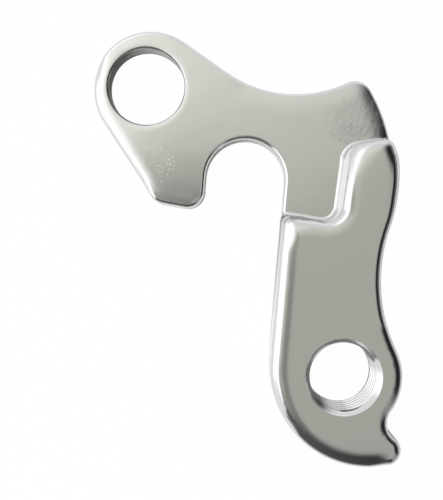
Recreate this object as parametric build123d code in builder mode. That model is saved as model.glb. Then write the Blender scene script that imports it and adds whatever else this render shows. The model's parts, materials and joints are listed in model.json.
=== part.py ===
from build123d import *
import math
import os

# A bicycle derailleur hanger, forged in one piece. Lengths are in millimetres, angles in degrees.
# The origin is the axis of the derailleur thread, on the flat outer face. +Z points towards the wheel,
# +Y points up towards the axle and +X points to the rear.

# Thickness of the drop arm and of the thinner plate that the frame end lies on
arm_thickness = 7.0
plate_thickness = 2.9

# Hole for the derailleur bolt, and the round end of the arm about it
thread_diameter = 10.0
thread_chamfer = 0.3
boss_radius = 8.0

# Slot that the wheel axle sits in
slot_x = -13.3
slot_y = 27.15
slot_width = 11.2

# Prong in front of the slot: its toe beside the slot and its heel at the front
slot_flare = 0.15
toe_radius = 2.5
toe_drop = 4.15
heel_radius = 2.5
heel_forward = 11.2
heel_drop = 1.1

# Eye for the frame bolt, with a rim a little off the hole's centre
eye_x = -27.25
eye_y = 40.2
eye_bore = 10.8
eye_radius = 8.2
rim_offset_x = 0.6
rim_offset_y = -0.35

# Top edge, from the eye down a straight slope and up a long hollow to the rear shoulder
slope_angle = 35.2
saddle_radius = 17.2
shoulder_radius = 2.6
shoulder_angle = 30.0

# Rear edge, bowed beside the slot and hollow at the waist of the arm
flank_x = 7.75
flank_y = 28.0
flank_radius = 23.6
waist_radius = 22.0

# Foot of the arm, with the claw that stops the derailleur from swinging forward
belly_x = 3.45
belly_y = 1.0
belly_radius = 13.35
claw_radius = 2.05
claw_angle = -78.2
stop_radius = 2.6

# Step from the plate up to the arm: a low tread, a leaning riser and a high tread
riser_x = -0.7
riser_lean = 7.7
low_tread_y = 21.0
low_tread_fall = 9.0
low_tread_radius = 2.0
high_tread_y = 31.8
high_tread_rise = 8.0
high_tread_radius = 2.8
rear_corner_x = 7.0
rear_corner_fall = 72.0
rear_corner_radius = 1.9
step_draft = 4.0

# Edges
step_cove = 0.5
wheel_side_rounding = 1.1
outer_side_chamfer = 0.4
eye_front_chamfer = 0.5
eye_back_chamfer = 0.4

# Arcs closer than this meet without a straight run between them
touching = 0.001


def point_at(angle, distance=1.0):
    """The point at a distance from the origin in a direction given in degrees."""
    return Vector(math.cos(math.radians(angle)), math.sin(math.radians(angle))) * distance


def hollow_between(first, second, radius):
    """The hollow wheel that touches two round ones, on the right of the way from first to second."""
    first_center, first_radius = first
    second_center, second_radius = second
    way = second_center - first_center
    to_first = first_radius + radius
    to_second = second_radius + radius
    along = (to_first**2 - to_second**2 + way.length**2) / (2 * way.length)
    aside = math.sqrt(to_first**2 - along**2)
    ahead = way.normalized()
    right = Vector(ahead.Y, -ahead.X)
    return first_center + ahead * along + right * aside, -radius


def belt_round(wheels):
    """Draws the closed line that runs round the wheels like a belt, with the metal on its left.

    A wheel is a centre and a radius. A hollow corner has a radius below nought.
    """
    headings = []
    for (center, radius), (next_center, next_radius) in zip(wheels, wheels[1:] + wheels[:1]):
        way = next_center - center
        lean = max(-1.0, min(1.0, (next_radius - radius) / way.length))
        headings.append(math.degrees(math.atan2(way.Y, way.X) - math.asin(lean)))
    corners = []
    for index, (center, radius) in enumerate(wheels):
        arrive = headings[index - 1] - 90
        turn = (headings[index] - headings[index - 1]) % math.copysign(360, radius)
        corners.append([center + point_at(arrive + turn * share, radius) for share in (0, 0.5, 1)])
    for index, (start, middle, end) in enumerate(corners):
        last_end = corners[index - 1][2]
        if (start - last_end).length > touching:
            Line(last_end, start)
        else:
            start = last_end
        ThreePointArc(start, middle, end)


# Round corners of the outline, each a centre and a radius
slot_radius = slot_width / 2
slot_center = Vector(slot_x, slot_y)
eye_center = Vector(eye_x, eye_y)
eye = (eye_center + Vector(rim_offset_x, rim_offset_y), eye_radius)
heel = (slot_center - Vector(heel_forward, heel_drop), heel_radius)
toe_forward = slot_radius + slot_flare + toe_radius
toe = (slot_center - Vector(toe_forward, toe_drop - toe_radius), toe_radius)
belly = (Vector(belly_x, belly_y), belly_radius)
claw = (belly[0] + point_at(claw_angle, belly_radius - claw_radius), claw_radius)
boss = (Vector(0, 0), boss_radius)
flank = (Vector(flank_x - flank_radius, flank_y), flank_radius)
shoulder = (flank[0] + point_at(shoulder_angle, flank_radius - shoulder_radius), shoulder_radius)

# Hollow corners, each touching what lies on either side of it
slot = (slot_center, -slot_radius)
stop = hollow_between(claw, boss, stop_radius)
waist = hollow_between(boss, flank, waist_radius)
slope_out = point_at(90 - slope_angle)
slope_down = point_at(-slope_angle)
saddle_out = slope_out.dot(eye[0]) + eye_radius + saddle_radius
shoulder_out = slope_out.dot(shoulder[0])
saddle_along = slope_down.dot(shoulder[0]) - math.sqrt(
    (saddle_radius + shoulder_radius) ** 2 - (saddle_out - shoulder_out) ** 2
)
saddle = (slope_out * saddle_out + slope_down * saddle_along, -saddle_radius)

with BuildPart() as hanger:
    # The whole outline at the arm's thickness
    with BuildSketch() as outline:
        with BuildLine():
            belt_round([eye, heel, toe, slot, belly, claw, stop, boss, waist, flank, shoulder, saddle])
        make_face()
    extrude(amount=arm_thickness)

    # The seat for the frame end, cut down to the plate along the step
    around = outline.sketch.bounding_box()
    clear = around.size.length
    low_corner = Vector(riser_x, low_tread_y)
    low_end = Vector(slot_x, low_tread_y + (riser_x - slot_x) * math.tan(math.radians(low_tread_fall)))
    riser_height = high_tread_y - low_tread_y
    high_corner = low_corner + Vector(riser_height * math.tan(math.radians(riser_lean)), riser_height)
    rear_run = rear_corner_x - high_corner.X
    rear_corner = high_corner + Vector(rear_run, rear_run * math.tan(math.radians(high_tread_rise)))
    with BuildSketch(Plane.XY.offset(plate_thickness)) as seat:
        with BuildLine():
            FilletPolyline(
                low_end,
                low_corner,
                high_corner,
                rear_corner,
                rear_corner + point_at(-rear_corner_fall, clear),
                (around.max.X + clear, around.max.Y + clear),
                (around.min.X - clear, around.max.Y + clear),
                (around.min.X - clear, around.min.Y - clear),
                (slot_x, around.min.Y - clear),
                radius=(0, low_tread_radius, high_tread_radius, rear_corner_radius, 0, 0, 0, 0, 0),
                close=True,
            )
        make_face()
    extrude(amount=arm_thickness, taper=-step_draft, mode=Mode.SUBTRACT)
    plate_face = hanger.faces().filter_by(Axis.Z).group_by(Axis.Z)[1][0]
    root = plate_face.edges().filter_by(lambda edge: edge.is_interior)
    fillet(root, step_cove)

    # The wheel side is rounded in one run over plate, step and arm, and the outer side is chamfered
    outer_face, plate_face, arm_face = hanger.faces().filter_by(Axis.Z).sort_by(Axis.Z)
    fillet(plate_face.edges() + arm_face.edges(), wheel_side_rounding)
    outer_face = hanger.faces().filter_by(Axis.Z).sort_by(Axis.Z)[0]
    chamfer(outer_face.edges(), outer_side_chamfer)

    # The two holes
    with Locations((eye_x, eye_y)):
        Hole(eye_bore / 2)
    eye_rims = hanger.edges(Select.LAST).filter_by(GeomType.CIRCLE).sort_by(Axis.Z)
    chamfer(eye_rims[0], eye_back_chamfer)
    chamfer(eye_rims[-1], eye_front_chamfer)
    Hole(thread_diameter / 2)
    thread_rims = hanger.edges(Select.LAST).filter_by(GeomType.CIRCLE)
    chamfer(thread_rims, thread_chamfer)

hanger.part.label = "hanger"
os.makedirs("parts", exist_ok=True)
export_step(hanger.part, "parts/hanger.step")
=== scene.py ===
"""A polished bicycle derailleur hanger: worn edges, a cut thread and a bright finish, in a plain studio."""
import json
import math
from typing import NamedTuple

import bmesh
import bpy
from bpy.props import FloatProperty, FloatVectorProperty, IntProperty, PointerProperty
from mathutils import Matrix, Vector
from mathutils.bvhtree import BVHTree


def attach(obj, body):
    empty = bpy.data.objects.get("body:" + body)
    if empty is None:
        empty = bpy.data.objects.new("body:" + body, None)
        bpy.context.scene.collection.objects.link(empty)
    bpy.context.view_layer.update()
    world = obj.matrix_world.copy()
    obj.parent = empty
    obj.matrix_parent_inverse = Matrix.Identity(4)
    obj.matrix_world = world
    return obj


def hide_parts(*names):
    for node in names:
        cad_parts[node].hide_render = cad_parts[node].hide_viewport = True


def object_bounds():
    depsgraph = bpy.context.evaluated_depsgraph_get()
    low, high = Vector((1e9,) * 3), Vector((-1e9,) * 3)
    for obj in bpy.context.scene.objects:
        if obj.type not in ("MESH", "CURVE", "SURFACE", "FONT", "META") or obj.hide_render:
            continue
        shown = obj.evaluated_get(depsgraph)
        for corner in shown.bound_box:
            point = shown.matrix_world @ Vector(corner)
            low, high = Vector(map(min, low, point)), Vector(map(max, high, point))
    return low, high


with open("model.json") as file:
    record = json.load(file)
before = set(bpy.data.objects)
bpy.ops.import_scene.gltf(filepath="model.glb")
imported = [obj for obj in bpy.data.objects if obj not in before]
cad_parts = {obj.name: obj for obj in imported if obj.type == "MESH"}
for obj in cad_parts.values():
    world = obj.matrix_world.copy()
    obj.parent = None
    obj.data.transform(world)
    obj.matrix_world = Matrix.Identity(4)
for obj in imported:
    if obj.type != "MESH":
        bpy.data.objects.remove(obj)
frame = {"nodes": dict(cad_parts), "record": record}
CAD_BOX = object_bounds()

bl_info = {
    "name": "Derailleur Hanger Finish",
    "version": (1, 0, 0),
    "blender": (4, 5, 0),
    "location": "3D View > Sidebar > Hanger",
    "description": "Wears the edges of a derailleur hanger, cuts its thread, polishes it and lights it",
    "category": "Object",
}

# Facts of the solid, from the frame and from the drawing of the part
MM = 0.001
MOUNTS = {mount["name"]: mount for mount in frame["record"]["mounts"]}
THREAD_AXIS = Vector(MOUNTS["derailleur_thread"]["pos_m"][:2])
THREAD_RADIUS = MOUNTS["derailleur_thread"]["dims"]["r_mm"] * MM
EYE_AXIS = Vector(MOUNTS["frame_bolt_eye"]["pos_m"][:2])
EYE_RADIUS = MOUNTS["frame_bolt_eye"]["dims"]["r_mm"] * MM
PLATE_TOP = MOUNTS["frame_seat"]["pos_m"][2]
ARM_TOP = CAD_BOX[1].z
ROUNDING = 1.1 * MM
THREAD_CHAMFER = 0.3 * MM
EYE_CHAMFER = 0.5 * MM

# Small distances: a hair's breadth, what merges, the step that measures a slope and the room round a bore
HAIR = 0.02 * MM
MERGED = 0.001 * MM
SLOPE_STEP = 0.3 * MM
RIM_ROOM = 0.6 * MM

# How much a face may look up and still be a wall, a wall of the step above the plate or an upright wall
WALL_LEAN = 0.2
STEP_WALL_LEAN = 0.1
UPRIGHT_LEAN = 0.02

SHARP_ANGLE = math.radians(30)
EYE_RIM_STEPS = 5
NORMAL_LAYER = "solid_normal"

# The photograph's frame, in pixels
IMAGE_WIDTH = 443
IMAGE_HEIGHT = 500


class EdgeWear(bpy.types.PropertyGroup):
    """How polishing has changed the edges of the solid."""

    grid: FloatProperty(
        name="Grid", description="Spacing of the cuts that let the flat faces bend",
        default=0.4 * MM, unit="LENGTH", precision=5,
    )
    crisp_rounding: FloatProperty(
        name="Crisp rounding", description="Rounding of the edges that stay crisp",
        default=0.55 * MM, unit="LENGTH", precision=5,
    )
    thread_rim: FloatProperty(
        name="Thread rim", description="Chamfer that is left at the rim of the thread on the wheel side",
        default=0.2 * MM, unit="LENGTH", precision=5,
    )
    eye_rim: FloatProperty(
        name="Eye rim", description="Rounding of the rim of the bolt eye",
        default=0.1 * MM, unit="LENGTH", precision=5,
    )


class ThreadSizes(bpy.types.PropertyGroup):
    """The thread for the derailleur bolt."""

    pitch: FloatProperty(
        name="Pitch", description="Rise of the thread in one turn",
        default=1.0 * MM, unit="LENGTH", precision=5,
    )
    depth: FloatProperty(
        name="Depth", description="Height of the thread's ridge above the bore",
        default=0.44 * MM, unit="LENGTH", precision=5,
    )
    crest_share: FloatProperty(
        name="Crest share", description="Width of the crest as a share of the pitch",
        default=0.25, subtype="FACTOR", min=0.0, max=1.0,
    )
    root_share: FloatProperty(
        name="Root share", description="Width of the ridge's foot as a share of the pitch",
        default=0.875, subtype="FACTOR", min=0.0, max=1.0,
    )
    steps: IntProperty(
        name="Steps", description="Straight pieces in one turn of the thread", default=96,
    )


class MetalFinish(bpy.types.PropertyGroup):
    """The polished aluminium."""

    color: FloatVectorProperty(
        name="Colour", description="Colour of the bare metal",
        default=(0.80, 0.797, 0.785), subtype="COLOR", min=0.0, max=1.0,
    )
    polish: FloatProperty(
        name="Polish", description="Roughness where the metal is polished",
        default=0.12, subtype="FACTOR", min=0.0, max=1.0,
    )
    satin: FloatProperty(
        name="Satin", description="Roughness where the blasted skin of the forging is left",
        default=0.34, subtype="FACTOR", min=0.0, max=1.0,
    )


class StudioLayout(bpy.types.PropertyGroup):
    """The camera, the floor and the light."""

    camera_height: FloatProperty(
        name="Camera height", description="Height of the camera above the floor",
        default=85.0 * MM, unit="LENGTH", precision=5,
    )
    camera_x: FloatProperty(
        name="Camera X", description="Place of the camera across the part",
        default=-13.3 * MM, unit="LENGTH", precision=5,
    )
    camera_y: FloatProperty(
        name="Camera Y", description="Place of the camera along the part",
        default=17.1 * MM, unit="LENGTH", precision=5,
    )
    scale: FloatProperty(
        name="Scale", description="Pixels for one millimetre on the floor", default=6.85,
    )
    foot_pixel: FloatProperty(
        name="Foot pixel", description="Column of the picture that lies straight below the camera",
        default=245.0,
    )
    floor_color: FloatVectorProperty(
        name="Floor", description="Colour of the floor",
        default=(0.9, 0.9, 0.9), subtype="COLOR", min=0.0, max=1.0,
    )
    bright_wall: FloatProperty(
        name="Bright wall", description="Strength of the bright wall on the left", default=1.4,
    )
    far_wall: FloatProperty(
        name="Far wall", description="Strength of the grey wall behind the eye", default=0.75,
    )
    front_wall: FloatProperty(
        name="Front wall", description="Strength of the dim wall in front of the claw", default=0.08,
    )
    claw_wall: FloatProperty(
        name="Claw wall", description="Strength of the narrow wall that the claw's tip faces", default=0.3,
    )
    low_wall: FloatProperty(
        name="Low wall", description="Strength of the glow low on all walls", default=0.18,
    )
    dark_wall: FloatProperty(
        name="Dark wall", description="Strength of the dark wall on the right", default=0.02,
    )
    camera_shade: FloatProperty(
        name="Camera shade", description="Share of the ceiling's light that the camera hides",
        default=0.45, subtype="FACTOR", min=0.0, max=1.0,
    )
    ceiling_color: FloatVectorProperty(
        name="Ceiling", description="Colour of the ceiling's light",
        default=(1.0, 1.0, 0.925), subtype="COLOR", min=0.0, max=1.0,
    )
    wall_color: FloatVectorProperty(
        name="Walls", description="Colour of the walls' light",
        default=(0.97, 0.97, 1.0), subtype="COLOR", min=0.0, max=1.0,
    )
    lamp_power: FloatProperty(
        name="Lamp", description="Power of the soft lamp on the left", default=0.85, unit="POWER",
    )


# Shader nodes as Python expressions

class Wire:
    """A node's output, which Python's operators join to Math nodes."""

    def __init__(self, socket):
        self.socket = socket
        self.tree = socket.id_data

    def maths(self, operation, *values):
        """The result of a Math node on the values, in their order."""
        return add_node(self.tree, "ShaderNodeMath", {"operation": operation}, dict(enumerate(values)))

    def __add__(self, other):
        return self.maths("ADD", self, other)

    __radd__ = __add__

    def __mul__(self, other):
        return self.maths("MULTIPLY", self, other)

    __rmul__ = __mul__

    def __sub__(self, other):
        return self.maths("SUBTRACT", self, other)

    def __rsub__(self, other):
        return self.maths("SUBTRACT", other, self)

    def __truediv__(self, other):
        return self.maths("DIVIDE", self, other)

    def __rtruediv__(self, other):
        return self.maths("DIVIDE", other, self)

    def __pow__(self, other):
        return self.maths("POWER", self, other)

    def __abs__(self):
        return self.maths("ABSOLUTE", self)

    def at_least(self, other):
        """The larger of two values."""
        return self.maths("MAXIMUM", self, other)

    def above(self, low, high):
        """Rises smoothly from 0 at low to 1 at high."""
        return add_node(
            self.tree,
            "ShaderNodeMapRange",
            {"interpolation_type": "SMOOTHSTEP"},
            {"Value": self, "From Min": low, "From Max": high},
        )

    def below(self, low, high):
        """Falls smoothly from 1 at low to 0 at high."""
        return 1 - self.above(low, high)

    def between(self, rise, fall):
        """Rises over one range to 1 and falls over another to 0."""
        return self.above(*rise) * self.below(*fall)

    def blend(self, other, share):
        """This value, with a share of another mixed in."""
        return self + share * (other - self)


def add_node(tree, kind, settings=None, sockets=None, output=0):
    """Adds a node: its settings first, then the values or links of its sockets. Returns one output."""
    node = tree.nodes.new(kind)
    for name, value in (settings or {}).items():
        if name == "stops":
            set_stops(node.color_ramp, value)
        else:
            setattr(node, name, value)
    for name, value in (sockets or {}).items():
        if isinstance(value, Wire):
            tree.links.new(value.socket, node.inputs[name])
        else:
            node.inputs[name].default_value = value
    return Wire(node.outputs[output]) if node.outputs else None


def set_stops(ramp, stops):
    """Gives a colour ramp its stops, each a place and a grey."""
    while len(ramp.elements) < len(stops):
        ramp.elements.new(1.0)
    for element, (place, grey) in zip(ramp.elements, stops):
        element.position = place
        element.color = (grey, grey, grey, 1.0)


def outputs_of(wire, *names):
    """Other outputs of the node that a wire comes from."""
    return [Wire(wire.socket.node.outputs[name]) for name in names]


def mix_colors(tree, first, second, share):
    """A share of the second colour mixed into the first. The node's colour sockets go by number."""
    return add_node(
        tree,
        "ShaderNodeMix",
        {"data_type": "RGBA"},
        {0: share, 6: (*first, 1.0), 7: (*second, 1.0)},
        output=2,
    )


def empty_tree(owner):
    """The cleared node tree of a material or a world."""
    owner.use_nodes = True
    owner.node_tree.nodes.clear()
    return owner.node_tree


# The metal

# Where the finish changes, and where shade is painted on, in millimetres. A plain pair is where a change
# starts and where it ends, and a patch is the middle and the half widths of an oval.
OFF_PLATE = (3.2, 3.6)
SATIN_PATCH = ((2.6, 35.6), (4.6, 3.6))
ROOT_PATCH = ((1.6, 33.6), (3.4, 1.5))
PITTED_PATCH = ((-25.8, 28.9), (2.8, 3.4))
RISER_FOOT = (2.95, 3.3)
RISER_TOP = (6.4, 6.9)
RISER_LOW_END = (19.5, 20.5)
EYE_WALL = (5.5, 5.7)
EYE_SHADE_FOOT = (0.9, 1.6)
EYE_SHADE_REAR = (-32.0, -28.5)
THREAD_ROOT_INSIDE = (4.75, 4.95)
THREAD_ROOT_OUTSIDE = (5.05, 5.1)
THREAD_ROOT_TOP = (4.0, 4.8)
CREASE_FRONT = (-7.6, -7.0)
CREASE_REAR = (-3.2, -2.0)
CREASE_LOW_END = (19.8, 20.3)
CREASE_HIGH_END = (23.2, 23.8)
CREASE_FOOT = (3.1, 3.4)
CREASE_TOP = (6.2, 6.6)

# A patch fades between these shares of its half widths, and this much raggedness moves its edge
PATCH_EDGE = (0.6, 1.15)
RAGGEDNESS = 0.9

# Relief of the finish, in millimetres
WAVE_HEIGHT = 0.020
BRUSH_HEIGHT = 0.0016
SATIN_HEIGHT = 0.026
ROOT_HEIGHT = 0.020
PIT_DEPTH = 0.015
STREAK_HEIGHT = 0.012
TURNING_HEIGHT = 0.03

# How matt each part of the finish is, from polished to satin, and how far brush marks change the roughness
SATIN_MATT = 0.5
ROOT_MATT = 0.3
RISER_MATT = 0.4
EYE_MATT = 0.5
BRUSH_ROUGHNESS = 0.05

# How dark each part is. The satin, root and turning tones are the metal's own; the rest is painted shade on
# the step's wall along the low tread, in the thread's roots, over the eye's bore and on the eye's upper
# wall. The darkest metal keeps the last of these shares of its colour.
SATIN_DARK = 0.10
ROOT_DARK = 0.04
CREASE_SHADE = 0.65
THREAD_ROOT_SHADE = 0.7
EYE_BORE_SHADE = 0.25
TURNING_DARK = 0.55
EYE_SHADE_DARK = 0.45
DARKEST = 0.25

# Turning marks show between these values of their noise
TURNING_MARKS = (0.42, 0.58)


def noise(tree, place, size, detail=2.0, stretch=(1.0, 1.0, 1.0), turn=0.0):
    """Noise about a half, of a size in millimetres, drawn out and turned about Z by some degrees."""
    mapped = add_node(
        tree,
        "ShaderNodeMapping",
        {"vector_type": "TEXTURE"},
        {"Vector": place, "Rotation": (0.0, 0.0, math.radians(turn)), "Scale": stretch},
    )
    return add_node(
        tree, "ShaderNodeTexNoise", {}, {"Vector": mapped, "Scale": 1 / size, "Detail": detail}
    )


def dots(tree, place, spacing, radius):
    """Scattered round dots, 1 in their middles and 0 from their radius on, in millimetres."""
    away = add_node(
        tree, "ShaderNodeTexVoronoi", {"feature": "F1"}, {"Vector": place, "Scale": 1 / spacing}
    )
    return (spacing * away).below(0.0, radius)


def patch(x, y, oval, ragged):
    """1 inside an oval patch, falling to 0 about its ragged edge."""
    middle, half = oval
    across = (x - middle[0]) / half[0]
    along = (y - middle[1]) / half[1]
    return ((across * across + along * along) ** 0.5 + ragged).below(*PATCH_EDGE)


def distance(x, y, middle):
    """The distance from a point, seen from above."""
    return ((x - middle[0]) * (x - middle[0]) + (y - middle[1]) * (y - middle[1])) ** 0.5


def polished_metal(finish):
    """Polished aluminium with a satin patch by the step, fine pits, faint brush marks and painted shade on
    the step's wall, in the thread's roots and in the eye's bore.
    """
    material = bpy.data.materials.new("hanger_metal")
    tree = empty_tree(material)
    metres = add_node(tree, "ShaderNodeTexCoord", output="Object")
    place = add_node(
        tree, "ShaderNodeVectorMath", {"operation": "SCALE"}, {"Vector": metres, "Scale": 1 / MM}
    )
    x = add_node(tree, "ShaderNodeSeparateXYZ", {}, {"Vector": place})
    y, z = outputs_of(x, "Y", "Z")
    ragged = RAGGEDNESS * (noise(tree, place, size=1.6, detail=3.0) - 0.5)

    on_plate = z.below(*OFF_PLATE)
    satin = on_plate * patch(x, y, SATIN_PATCH, ragged)
    rough_root = on_plate * patch(x, y, ROOT_PATCH, ragged)
    pitted = on_plate * patch(x, y, PITTED_PATCH, ragged)
    riser = z.between(RISER_FOOT, RISER_TOP) * y.above(*RISER_LOW_END)
    in_eye = distance(x, y, EYE_AXIS / MM).below(*EYE_WALL)
    # Painted shade on the upper part of the eye's wall, on its left (-X) side
    eye_shade = in_eye * z.above(*EYE_SHADE_FOOT) * x.below(*EYE_SHADE_REAR)
    from_thread = distance(x, y, THREAD_AXIS / MM)
    # Painted shade in the thread's roots, fading out towards the top of the bore
    thread_root_shade = from_thread.between(THREAD_ROOT_INSIDE, THREAD_ROOT_OUTSIDE) * z.below(*THREAD_ROOT_TOP)
    # Painted shade on the step's wall along the low tread, its edges made ragged by noise
    by_tread = y.between(CREASE_LOW_END, CREASE_HIGH_END) * x.between(CREASE_FRONT, CREASE_REAR)
    crease_shade = by_tread * (z + ragged).between(CREASE_FOOT, CREASE_TOP)

    grain = noise(tree, place, size=0.45, detail=4.0, stretch=(1.0, 2.0, 1.0), turn=-35)
    pits = dots(tree, place, spacing=0.37, radius=0.11)
    brush = noise(tree, place, size=0.16, stretch=(14.0, 1.0, 1.0), turn=8)
    waves = noise(tree, place, size=3.5, detail=1.0)
    streaks = noise(tree, place, size=0.3, stretch=(1.0, 9.0, 1.0), turn=-7.7)
    turning = noise(tree, place, size=0.9, stretch=(6.0, 6.0, 1.0))

    matt = SATIN_MATT * satin + ROOT_MATT * rough_root + RISER_MATT * riser + EYE_MATT * in_eye
    roughness = finish.polish + (finish.satin - finish.polish) * matt + BRUSH_ROUGHNESS * (brush - 0.5)
    height = MM * (
        WAVE_HEIGHT * waves
        + BRUSH_HEIGHT * brush
        + (SATIN_HEIGHT * satin + ROOT_HEIGHT * rough_root) * grain
        - PIT_DEPTH * pitted * pits
        + STREAK_HEIGHT * riser * streaks
        + TURNING_HEIGHT * in_eye * turning
    )
    bump = add_node(tree, "ShaderNodeBump", {}, {"Height": height, "Strength": 1.0, "Distance": 1.0})
    dark = (
        SATIN_DARK * satin
        + ROOT_DARK * rough_root
        + CREASE_SHADE * crease_shade
        + THREAD_ROOT_SHADE * thread_root_shade
        # Painted shade over the whole bore of the eye, with its real turning marks darker still
        + in_eye * (EYE_BORE_SHADE + TURNING_DARK * turning.above(*TURNING_MARKS))
        + EYE_SHADE_DARK * eye_shade
    )
    color = mix_colors(tree, finish.color, [DARKEST * part for part in finish.color], dark)
    shader = add_node(
        tree,
        "ShaderNodeBsdfPrincipled",
        {},
        {"Base Color": color, "Metallic": 1.0, "Roughness": roughness, "Normal": bump},
    )
    add_node(tree, "ShaderNodeOutputMaterial", {}, {"Surface": shader})
    return material


def metal(scene):
    """The finish that all pieces share."""
    return bpy.data.materials.get("hanger_metal") or polished_metal(scene.metal_finish)


# Wear

class Stretch(NamedTuple):
    """A stretch of an edge, in millimetres: points on it, and how far from them it reaches."""

    points: tuple
    reach: float

    def share(self, place):
        """1 along the points, falling to 0 at their reach."""
        away = min((place - Vector(point) * MM).length for point in self.points)
        return smooth_share(2 - 2 * away / (self.reach * MM))


class Band(NamedTuple):
    """A band along an edge that has rolled off, in millimetres: its width and its radius."""

    width: float
    radius: float

    def fall(self, inside):
        """How far the face has dropped at a distance inside the edge."""
        return max(0.0, self.width * MM - inside) ** 2 / (2 * self.radius * MM)


class WornStretch(NamedTuple):
    """A stretch of an edge that is worn, and its worn band."""

    stretch: Stretch
    band: Band


class Roll(NamedTuple):
    """A face that rolls off, in millimetres: which way, from where, how round and in which area."""

    way: tuple
    start: float
    radius: float
    low: tuple
    high: tuple

    def fall(self, place):
        """How far the face has dropped at a place."""
        across, along = place / MM
        if not (self.low[0] <= across <= self.high[0] and self.low[1] <= along <= self.high[1]):
            return 0.0
        past = max(0.0, self.way[0] * across + self.way[1] * along - self.start)
        return past ** 2 / (2 * self.radius) * MM


def smooth_share(value):
    """Eases a share from 0 to 1, and holds it there outside that range."""
    value = max(0.0, min(1.0, value))
    return value * value * (3 - 2 * value)


def worn_fall(worn, place, inside):
    """How far worn stretches together lower the face, inside a place on the edge."""
    shares = [stretch.share(place) for stretch, _ in worn]
    falls = [share * band.fall(inside) for share, (_, band) in zip(shares, worn)]
    return sum(falls) / max(1.0, sum(shares))


# The arm, along its outline
ARM_FRONT = WornStretch(
    Stretch(points=((-9.1, 13.2), (-9.3, 10.0), (-9.7, 4.0), (-9.8, -1.0)), reach=7.0),
    Band(width=2.6, radius=8.6),
)
ARM_BELLY = WornStretch(
    Stretch(points=((-8.2, -5.4), (-3.4, -10.5), (1.0, -12.2)), reach=6.0),
    Band(width=2.4, radius=5.5),
)
ARM_REAR = WornStretch(
    Stretch(points=((6.9, 31.0), (7.3, 29.0)), reach=8.0),
    Band(width=2.3, radius=14.0),
)
BOSS_REAR = WornStretch(
    Stretch(points=((7.1, -3.5), (7.8, -0.3), (7.2, 3.0)), reach=6.0),
    Band(width=1.4, radius=2.4),
)
ARM_WEAR = (ARM_FRONT, ARM_BELLY, ARM_REAR, BOSS_REAR)
CRISP_BELLY = Stretch(points=((-4.0, -10.2), (-1.5, -11.6), (1.0, -12.2)), reach=5.0)

# The arm, along the step
STEP_RISER = WornStretch(
    Stretch(points=((-0.2, 23.5), (0.6, 28.0)), reach=6.0),
    Band(width=2.4, radius=9.0),
)
STEP_CORNER = WornStretch(
    Stretch(points=((1.2, 30.4), (2.6, 31.9), (4.6, 32.3), (6.8, 32.6)), reach=4.0),
    Band(width=2.0, radius=8.0),
)
STEP_TREAD = WornStretch(
    Stretch(points=((-7.5, 21.6), (-3.0, 21.2)), reach=5.0),
    Band(width=2.8, radius=9.0),
)
STEP_WEAR = (STEP_RISER, STEP_CORNER, STEP_TREAD)
STEP_ROLL = Roll(way=(-0.8, 0.6), start=14.2, radius=9.0, low=(-2.0, 22.0), high=(10.0, 36.0))
TREAD_ROLL = Roll(way=(-0.7, 0.7), start=17.2, radius=14.0, low=(-12.0, 12.0), high=(-2.0, 24.0))
REAR_ROLL = Roll(way=(0.85, 0.53), start=19.6, radius=15.0, low=(3.0, 24.0), high=(12.0, 36.0))
ARM_ROLLS = (STEP_ROLL, TREAD_ROLL, REAR_ROLL)

# The plate
EYE_FRONT = WornStretch(
    Stretch(points=((-34.6, 38.5), (-33.4, 35.0), (-32.2, 32.4), (-30.5, 30.0)), reach=7.0),
    Band(width=2.0, radius=10.0),
)
SADDLE = WornStretch(
    Stretch(points=((-9.0, 39.0), (-5.0, 38.4), (-1.5, 38.8)), reach=7.0),
    Band(width=3.2, radius=45.0),
)
PRONG_TIP = WornStretch(
    Stretch(points=((-23.6, 23.3), (-21.8, 23.0)), reach=3.6),
    Band(width=1.3, radius=6.0),
)
PLATE_WEAR = (EYE_FRONT, SADDLE, PRONG_TIP)
EYE_BAND = Band(width=1.0, radius=12.0)
PRONG_ROLL = Roll(way=(0.0, -1.0), start=-31.0, radius=220.0, low=(-40.0, 20.0), high=(-13.3, 31.0))
SHOULDER_ROLL = Roll(way=(0.94, 0.34), start=14.9, radius=13.0, low=(-2.0, 30.0), high=(10.0, 45.0))
PLATE_ROLLS = (PRONG_ROLL, SHOULDER_ROLL)


# Pieces

def flat(point):
    """A point seen from above."""
    return Vector((point.x, point.y))


def in_bore(point, room=RIM_ROOM):
    """Whether a point lies in the thread or in the bolt eye, or within some room round them."""
    from_thread = (flat(point) - THREAD_AXIS).length
    from_eye = (flat(point) - EYE_AXIS).length
    return from_thread < THREAD_RADIUS + room or from_eye < EYE_RADIUS + room


def make_piece(name, bm, material, normals=None):
    """Turns a bmesh into a smooth piece that moves with the hanger and takes the metal's slot."""
    for face in bm.faces:
        face.smooth = True
        face.material_index = 0
    mesh = bpy.data.meshes.new(name)
    leans = [loop[normals].copy() for face in bm.faces for loop in face.loops] if normals else None
    bm.to_mesh(mesh)
    bm.free()
    if mesh.has_custom_normals:
        mesh.attributes.remove(mesh.attributes["custom_normal"])
    mesh.set_sharp_from_angle(angle=SHARP_ANGLE)
    if leans:
        mesh.attributes.remove(mesh.attributes[NORMAL_LAYER])
        mesh.normals_split_custom_set(leans)
    mesh.materials.append(material)
    piece = bpy.data.objects.new(name, mesh)
    bpy.context.scene.collection.objects.link(piece)
    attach(piece, "root")
    return piece


def solid_copy():
    """A merged copy of the solid's mesh, and the layer that keeps the solid's normals at its corners."""
    mesh = frame["nodes"]["hanger"].data
    bm = bmesh.new()
    bm.from_mesh(mesh)
    normals = bm.loops.layers.float_vector.new(NORMAL_LAYER)
    corners = [loop for face in bm.faces for loop in face.loops]
    for loop, normal in zip(corners, mesh.corner_normals):
        loop[normals] = normal.vector
    bmesh.ops.remove_doubles(bm, verts=bm.verts, dist=MERGED)
    return bm, normals


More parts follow.
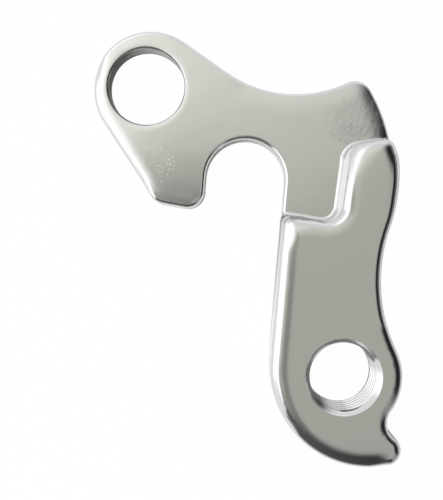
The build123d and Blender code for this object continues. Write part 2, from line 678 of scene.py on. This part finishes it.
class Walls:
    """The walls that cross a height and start above another, seen from above."""

    def __init__(self, bm, height, from_height=0.0):
        self.height = height
        walls = bm.copy()
        others = [face for face in walls.faces if not self.has(face, from_height)]
        bmesh.ops.delete(walls, geom=others, context="FACES")
        self.tree = BVHTree.FromBMesh(walls)
        walls.free()

    def has(self, face, from_height):
        """Whether a face is one of these walls."""
        heights = [vert.co.z for vert in face.verts]
        crosses = min(heights) <= self.height <= max(heights) and min(heights) >= from_height
        return crosses and abs(face.normal.z) <= WALL_LEAN and not in_bore(face.calc_center_median())

    def nearest(self, place):
        """The nearest place on the walls, the way out of the metal there and how far inside it one is."""
        point, outward, _, away = self.tree.find_nearest((place.x, place.y, self.height))
        edge = flat(point)
        outward = flat(outward).normalized()
        return edge, outward, math.copysign(away, (edge - place).dot(outward))

    def fall(self, worn, place):
        """How far worn stretches of the walls' edge lower the face at a place."""
        edge, _, inside = self.nearest(place)
        return worn_fall(worn, edge, inside)


def narrow_rim(bm, axis, radius, chamfer, top, width):
    """Narrows the chamfer round a hole to a width, and returns its vertices."""
    rim = []
    for vert in bm.verts:
        outside = (flat(vert.co) - axis).length - radius
        if vert.co.z < top - chamfer - HAIR or not -HAIR < outside < chamfer + HAIR:
            continue
        rim.append(vert)
        if outside > HAIR:
            vert.co.xy = axis + (flat(vert.co) - axis).normalized() * (radius + width)
        else:
            vert.co.z = top - width
    return rim


def round_eye_rim(bm, normals, rounding):
    """Rounds the front rim of the bolt eye."""
    rim = narrow_rim(bm, EYE_AXIS, EYE_RADIUS, EYE_CHAMFER, PLATE_TOP, 2 * rounding)
    circle_edges = [
        edge
        for edge in {edge for vert in rim for edge in vert.link_edges}
        if all(vert in rim for vert in edge.verts) and abs(edge.verts[0].co.z - edge.verts[1].co.z) < HAIR
    ]
    bevel = bmesh.ops.bevel(
        bm,
        geom=circle_edges,
        offset=rounding,
        offset_type="OFFSET",
        affect="EDGES",
        segments=EYE_RIM_STEPS,
        profile=0.5,
        material=-1,
    )
    for face in bevel["faces"]:
        for loop in face.loops:
            loop[normals] = (0, 0, 0)


def bends(face):
    """Whether a face is on the wheel side and isn't one of the step's walls, which look up a little."""
    height = face.calc_center_median().z
    lean = STEP_WALL_LEAN if height > PLATE_TOP else UPRIGHT_LEAN
    return height > 0.5 * PLATE_TOP and face.normal.z > lean


def cut_grid(bm, spacing):
    """Cuts the wheel side into small squares, so that it can bend."""
    top = [face for face in bm.faces if bends(face)]
    geom = list({part for face in top for part in (face, *face.edges, *face.verts)})
    low, high = CAD_BOX
    for axis in (0, 1):
        normal = Vector((0, 0, 0))
        normal[axis] = 1
        for index in range(1, math.ceil((high[axis] - low[axis]) / spacing)):
            cut = low.copy()
            cut[axis] += index * spacing
            geom = bmesh.ops.bisect_plane(bm, geom=geom, dist=HAIR, plane_co=cut, plane_no=normal)["geom"]


def lower(vert, normals, fall_at):
    """Lowers a vertex where the face is worn, and leans the normals of its corners to match."""
    place = flat(vert.co)
    slope_x, slope_y = (
        (fall_at(place + step) - fall_at(place - step)) / (2 * step.length)
        for step in (Vector((SLOPE_STEP, 0)), Vector((0, SLOPE_STEP)))
    )
    vert.co.z -= fall_at(place)
    for loop in vert.link_loops:
        normal = loop[normals]
        lean = Vector((normal.x + normal.z * slope_x, normal.y + normal.z * slope_y, normal.z))
        loop[normals] = lean.normalized()


def sharpen(vert, outline, foot, slack_at):
    """Moves a vertex of a rounding, which starts at its foot, out to a radius that is less by a slack."""
    edge, outward, inside = outline.nearest(flat(vert.co))
    if inside < ROUNDING + HAIR:
        slack = slack_at(edge)
        turn = math.atan2(vert.co.z - foot, max(ROUNDING - inside, 0.0))
        vert.co.xy = flat(vert.co) + outward * slack * (1 - math.cos(turn))
        vert.co.z += slack * (1 - math.sin(turn))


def outline_walls(bm):
    """The walls of the whole outline."""
    return Walls(bm, 0.5 * (PLATE_TOP - ROUNDING))


def wear_arm(bm, normals, crisp):
    """Rolls off the arm's edges, also along the step, and sharpens its belly and the back of the boss."""
    outline = outline_walls(bm)
    step = Walls(bm, ARM_TOP - 2 * ROUNDING, from_height=PLATE_TOP)
    foot = ARM_TOP - ROUNDING

    def fall_at(place):
        rolls = sum(roll.fall(place) for roll in ARM_ROLLS)
        return outline.fall(ARM_WEAR, place) + step.fall(STEP_WEAR, place) + rolls

    def slack_at(edge):
        return (CRISP_BELLY.share(edge) + BOSS_REAR.stretch.share(edge)) * (ROUNDING - crisp)

    for vert in bm.verts:
        if vert.co.z > foot - HAIR and not in_bore(vert.co):
            sharpen(vert, outline, foot, slack_at)
            lower(vert, normals, fall_at)


def wear_plate(bm, normals, crisp):
    """Sharpens the rounding of the plate's edges where they stay crisp, and rolls off the others."""
    outline = outline_walls(bm)
    foot = PLATE_TOP - ROUNDING

    def fall_at(place):
        from_eye = max(0.0, (place - EYE_AXIS).length - EYE_RADIUS)
        rolls = sum(roll.fall(place) for roll in PLATE_ROLLS)
        return outline.fall(PLATE_WEAR, place) + EYE_BAND.fall(from_eye) + rolls

    def slack_at(edge):
        return (1 - EYE_FRONT.stretch.share(edge)) * (ROUNDING - crisp)

    for vert in bm.verts:
        if foot - HAIR < vert.co.z < PLATE_TOP + HAIR and not in_bore(vert.co, room=0.0):
            sharpen(vert, outline, foot, slack_at)
            lower(vert, normals, fall_at)


class HANGER_OT_dress_body(bpy.types.Operator):
    """Wears the edges of the hanger's solid and gives it its finish"""

    bl_idname = "hanger.dress_body"
    bl_label = "Dress the Body"

    def execute(self, context):
        wear = context.scene.edge_wear
        bm, normals = solid_copy()
        round_eye_rim(bm, normals, wear.eye_rim)
        narrow_rim(bm, THREAD_AXIS, THREAD_RADIUS, THREAD_CHAMFER, ARM_TOP, wear.thread_rim)
        cut_grid(bm, wear.grid)
        wear_arm(bm, normals, wear.crisp_rounding)
        wear_plate(bm, normals, wear.crisp_rounding)
        piece = make_piece("hanger_body", bm, metal(context.scene), normals)
        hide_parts("hanger")
        return {"FINISHED"}


def trim_ridge(bm, rim):
    """Cuts the thread's ridge off at the rims of the bore and chamfers its ends."""
    low = THREAD_CHAMFER
    high = ARM_TOP - rim
    for height, way in ((low + HAIR, -1), (high - HAIR, 1)):
        geom = [*bm.faces, *bm.edges, *bm.verts]
        bmesh.ops.bisect_plane(
            bm, geom=geom, plane_co=(0, 0, height), plane_no=(0, 0, way), clear_outer=True
        )
    bmesh.ops.holes_fill(bm, edges=bm.edges)
    for vert in bm.verts:
        radius = flat(vert.co).length
        chamfered = THREAD_RADIUS + HAIR + max(low - vert.co.z, vert.co.z - high)
        vert.co.xy = flat(vert.co) * max(radius, chamfered) / radius


class HANGER_OT_cut_thread(bpy.types.Operator):
    """Winds the ridge of the derailleur thread inside its bore"""

    bl_idname = "hanger.cut_thread"
    bl_label = "Cut the Thread"

    def execute(self, context):
        sizes = context.scene.thread_sizes
        foot = 0.5 * sizes.root_share * sizes.pitch
        crest = 0.5 * sizes.crest_share * sizes.pitch
        outside = THREAD_RADIUS + HAIR
        inner = THREAD_RADIUS - sizes.depth
        turns = (ARM_TOP + 2 * foot) / sizes.pitch
        bm = bmesh.new()
        profile = ((outside, -foot), (inner, -crest), (inner, crest), (outside, foot))
        ridge = bm.faces.new([bm.verts.new((radius, 0, rise - foot)) for radius, rise in profile])
        bmesh.ops.spin(
            bm,
            geom=[ridge, *ridge.edges, *ridge.verts],
            cent=(0, 0, 0),
            axis=(0, 0, 1),
            dvec=(0, 0, sizes.pitch / sizes.steps),
            angle=2 * math.pi * turns,
            steps=round(sizes.steps * turns),
        )
        trim_ridge(bm, context.scene.edge_wear.thread_rim)
        bmesh.ops.recalc_face_normals(bm, faces=bm.faces)
        make_piece("derailleur_thread", bm, metal(context.scene))
        return {"FINISHED"}


# The studio

# Brightness of the ceiling along a way over the part, from the first of these places to the second
CEILING_WAY = (-0.45, 0.8)
CEILING_FROM = -0.25
CEILING_TO = 0.30
CEILING = (
    (0.0, 0.45), (0.45, 0.47), (0.52, 0.545), (0.6, 0.585), (0.72, 0.63), (0.82, 0.70), (1.0, 0.83),
)

# Where the camera darkens the ceiling: a strip at a place across, its edges, and where it ends at the back
CAMERA_STRIP = -0.1
CAMERA_STRIP_EDGE = (0.03, 0.15)
CAMERA_STRIP_END = (0.0, 0.26)

# Where the walls start and end. A light's place is how far its direction leans aside from straight up.
CEILING_EDGE = (0.34, 0.62)
LOW_EDGE = (0.85, 0.95)
FAR_EDGE = (0.55, 0.95)
FRONT_WAY = (-0.6, -0.8)
CLAW_WAY = (0.7, -0.71)
CLAW_EDGE = (0.94, 1.0)

# The bright wall on the left: its upper edge, which bends back, its front end, and where it dims low down
LEFT_EDGE = (0.19, 0.43)
LEFT_BEND = 0.3
LEFT_END_WAY = (-1.1, 1.0)
LEFT_END = (0.0, 0.15)
LEFT_DIMMING = 0.36
LEFT_DIM_LOW = (0.65, 0.92)
LEFT_DIM_SIDES = (0.2, 0.5)

# How white the floor glows to the camera and in reflections, its radius in metres and its number of sides
FLOOR_GLOW = 0.98
FLOOR_REFLECTED_GLOW = 0.1
FLOOR_RADIUS = 4.0
FLOOR_SIDES = 64

# The lamp, and the range of what the camera sees, in metres
LAMP_PLACE = (-0.30, -0.02, 0.16)
LAMP_SIZE = 0.25
NEAREST_SEEN = 1.0 * MM
FARTHEST_SEEN = 20.0


def towards(x, y, way):
    """How far a direction leans one way."""
    return way[0] * x + way[1] * y


def studio_world(studio):
    """A light ceiling, a bright wall on the left, a grey one behind and dark ones, white to the camera."""
    world = bpy.data.worlds.new("studio")
    tree = empty_tree(world)
    heading = add_node(tree, "ShaderNodeTexCoord", output="Generated")
    x = add_node(tree, "ShaderNodeSeparateXYZ", {}, {"Vector": heading})
    y = outputs_of(x, "Y")[0]
    aside = (x * x + y * y) ** 0.5

    slant = (towards(x, y, CEILING_WAY) - CEILING_FROM) / (CEILING_TO - CEILING_FROM)
    ceiling = add_node(tree, "ShaderNodeValToRGB", {"stops": CEILING}, {"Fac": slant})
    by_camera = abs(x - CAMERA_STRIP).below(*CAMERA_STRIP_EDGE) * y.below(*CAMERA_STRIP_END)
    overhead = ceiling * (1 - studio.camera_shade * by_camera)

    to_back = y / aside
    to_front = towards(x, y, FRONT_WAY) / aside
    to_claw = towards(x, y, CLAW_WAY) / aside
    walls = (
        studio.dark_wall
        + studio.low_wall * aside.above(*LOW_EDGE)
        + studio.far_wall * to_back.above(*FAR_EDGE)
        + studio.front_wall * to_front.at_least(0.0) ** 2
        + studio.claw_wall * to_claw.above(*CLAW_EDGE)
    )
    past_ceiling = aside.above(*CEILING_EDGE)
    left_of_edge = (LEFT_BEND * y.at_least(0.0) - x).above(*LEFT_EDGE)
    on_left = left_of_edge * towards(x, y, LEFT_END_WAY).above(*LEFT_END)
    dimming = LEFT_DIMMING * aside.above(*LEFT_DIM_LOW) * abs(y).above(*LEFT_DIM_SIDES)
    left_wall = studio.bright_wall * (1 - dimming)
    strength = overhead.blend(walls, past_ceiling).blend(left_wall, on_left)
    color = mix_colors(tree, studio.ceiling_color, studio.wall_color, past_ceiling.at_least(on_left))
    room = add_node(tree, "ShaderNodeBackground", {}, {"Color": color, "Strength": strength})
    white = add_node(tree, "ShaderNodeBackground", {}, {"Color": (1.0, 1.0, 1.0, 1.0), "Strength": 1.0})
    camera_ray = add_node(tree, "ShaderNodeLightPath", output="Is Camera Ray")
    surface = add_node(tree, "ShaderNodeMixShader", {}, {0: camera_ray, 1: room, 2: white})
    add_node(tree, "ShaderNodeOutputWorld", {}, {"Surface": surface})
    return world


def floor_material(studio):
    """Pale floor that the camera sees as white, with a trace of shadow."""
    material = bpy.data.materials.new("floor")
    tree = empty_tree(material)
    camera_ray = add_node(tree, "ShaderNodeLightPath", output="Is Camera Ray")
    glossy_ray, clear_ray = outputs_of(camera_ray, "Is Glossy Ray", "Is Transmission Ray")
    reflected = FLOOR_REFLECTED_GLOW * glossy_ray.at_least(clear_ray)
    whiteness = (FLOOR_GLOW * camera_ray).at_least(reflected)
    diffuse = add_node(tree, "ShaderNodeBsdfDiffuse", {}, {"Color": (*studio.floor_color, 1.0)})
    white = add_node(tree, "ShaderNodeEmission", {}, {"Color": (1.0, 1.0, 1.0, 1.0), "Strength": 1.0})
    surface = add_node(tree, "ShaderNodeMixShader", {}, {0: whiteness, 1: diffuse, 2: white})
    add_node(tree, "ShaderNodeOutputMaterial", {}, {"Surface": surface})
    return material


def lay_floor(scene, studio):
    """Lays a round floor under the part."""
    bm = bmesh.new()
    bmesh.ops.create_circle(bm, cap_ends=True, radius=FLOOR_RADIUS, segments=FLOOR_SIDES)
    mesh = bpy.data.meshes.new("floor")
    bm.to_mesh(mesh)
    bm.free()
    mesh.materials.append(floor_material(studio))
    floor = bpy.data.objects.new("floor", mesh)
    floor.location.z = CAD_BOX[0].z
    scene.collection.objects.link(floor)


def hang_lamp(scene, studio):
    """Hangs a soft lamp on the left that only lights, and isn't seen."""
    glow = bpy.data.lights.new("soft_lamp", "AREA")
    glow.energy = studio.lamp_power
    glow.size = LAMP_SIZE
    lamp = bpy.data.objects.new("soft_lamp", glow)
    lamp.location = LAMP_PLACE
    lamp.rotation_euler = (-lamp.location).to_track_quat("-Z", "Y").to_euler()
    lamp.visible_camera = False
    lamp.visible_glossy = False
    scene.collection.objects.link(lamp)


def aim_camera(scene, studio):
    """Places the camera straight above the part, as in the photograph."""
    lens = bpy.data.cameras.new("camera")
    lens.sensor_fit = "AUTO"
    focal_pixels = studio.scale * studio.camera_height / MM
    lens.lens = lens.sensor_width * focal_pixels / IMAGE_HEIGHT
    lens.shift_x = (IMAGE_WIDTH / 2 - studio.foot_pixel) / IMAGE_HEIGHT
    lens.clip_start = NEAREST_SEEN
    lens.clip_end = FARTHEST_SEEN
    camera = bpy.data.objects.new("camera", lens)
    camera.location = (studio.camera_x, studio.camera_y, studio.camera_height)
    scene.collection.objects.link(camera)
    scene.camera = camera


class HANGER_OT_set_stage(bpy.types.Operator):
    """Lays the floor, lights the studio and aims the camera"""

    bl_idname = "hanger.set_stage"
    bl_label = "Set the Stage"

    def execute(self, context):
        scene = context.scene
        studio = scene.studio_layout
        lay_floor(scene, studio)
        scene.world = studio_world(studio)
        hang_lamp(scene, studio)
        scene.view_settings.view_transform = "Standard"
        aim_camera(scene, studio)
        return {"FINISHED"}


class VIEW3D_PT_hanger(bpy.types.Panel):
    """Lists the steps that dress the hanger and their sizes"""

    bl_label = "Derailleur Hanger"
    bl_space_type = "VIEW_3D"
    bl_region_type = "UI"
    bl_category = "Hanger"

    def draw(self, context):
        for operator, groups in STEPS.items():
            box = self.layout.box()
            box.operator(operator)
            for group in groups:
                settings = getattr(context.scene, group)
                for name in settings.__annotations__:
                    box.prop(settings, name)


STEPS = {
    "hanger.dress_body": ("edge_wear", "metal_finish"),
    "hanger.cut_thread": ("thread_sizes",),
    "hanger.set_stage": ("studio_layout",),
}
GROUPS = {
    "edge_wear": EdgeWear,
    "thread_sizes": ThreadSizes,
    "metal_finish": MetalFinish,
    "studio_layout": StudioLayout,
}
CLASSES = (
    *GROUPS.values(),
    HANGER_OT_dress_body,
    HANGER_OT_cut_thread,
    HANGER_OT_set_stage,
    VIEW3D_PT_hanger,
)


def register():
    """Makes the classes and their settings known to Blender."""
    for cls in CLASSES:
        bpy.utils.register_class(cls)
    for name, group in GROUPS.items():
        setattr(bpy.types.Scene, name, PointerProperty(type=group))


def unregister():
    """Takes the settings and the classes out again."""
    for name in GROUPS:
        delattr(bpy.types.Scene, name)
    for cls in reversed(CLASSES):
        bpy.utils.unregister_class(cls)


def main():
    """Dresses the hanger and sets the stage."""
    register()
    bpy.ops.hanger.dress_body()
    bpy.ops.hanger.cut_thread()
    bpy.ops.hanger.set_stage()


if __name__ == "__main__":
    main()
